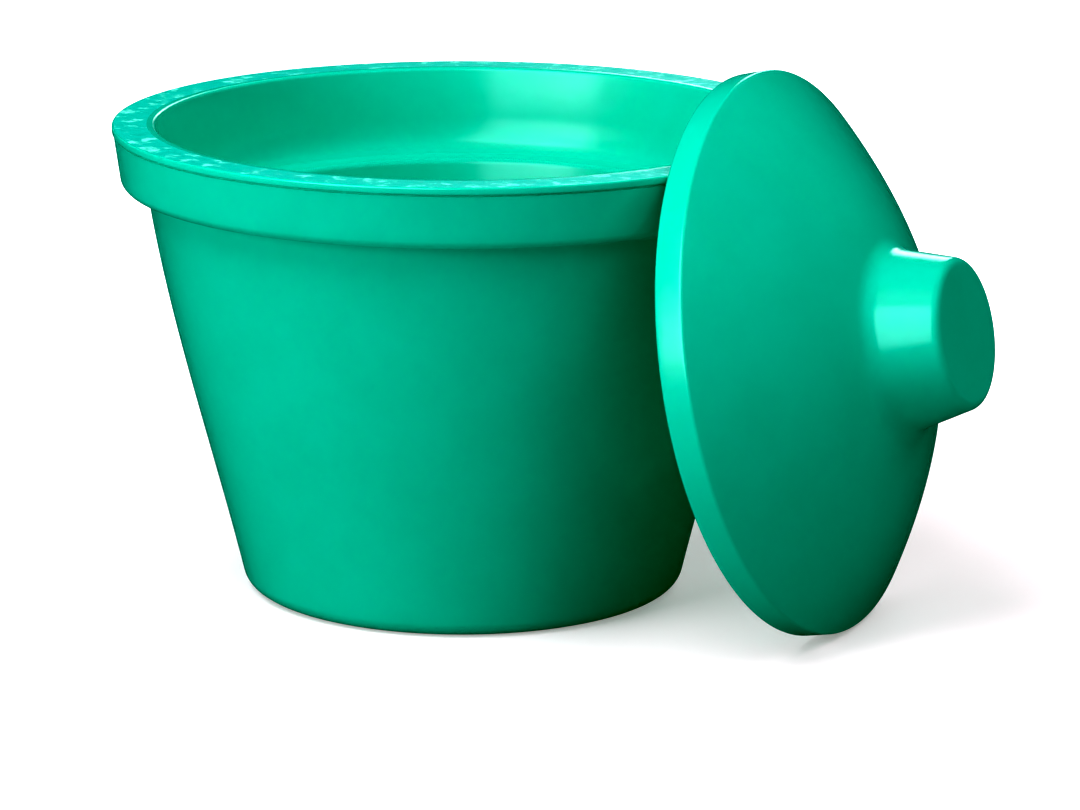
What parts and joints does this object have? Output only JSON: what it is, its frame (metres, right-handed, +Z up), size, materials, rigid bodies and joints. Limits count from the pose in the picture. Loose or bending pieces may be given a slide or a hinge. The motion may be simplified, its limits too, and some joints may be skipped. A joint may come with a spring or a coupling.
{
  "type": "ice bucket with lid",
  "caption": "Round tapered foam ice bucket with a collared rim and an inner ledge, and a loose domed lid with a moulded knob that leans against it.",
  "frame": {"origin": "middle of the flat underside of the bucket's base, on the surface it stands on", "axes": "+Z up along the bucket's axis; +X towards the lid, which stands on its edge there and leans against the collar"},
  "size_m": [0.3416, 0.264, 0.2061],
  "materials": {
    "bucket_foam": "satin moulded closed-cell foam skin",
    "lid_foam": "satin moulded closed-cell foam skin"
  },
  "bodies": {
    "bucket": {"bucket": "bucket_foam"},
    "lid": {"lid": "lid_foam"}
  },
  "joints": [
    {"name": "lid_pull_away", "type": "slide", "parent": "bucket", "child": "lid", "axis": [0.9781, 0, 0.2079], "range_m": [0, 0.2]}
  ]
}
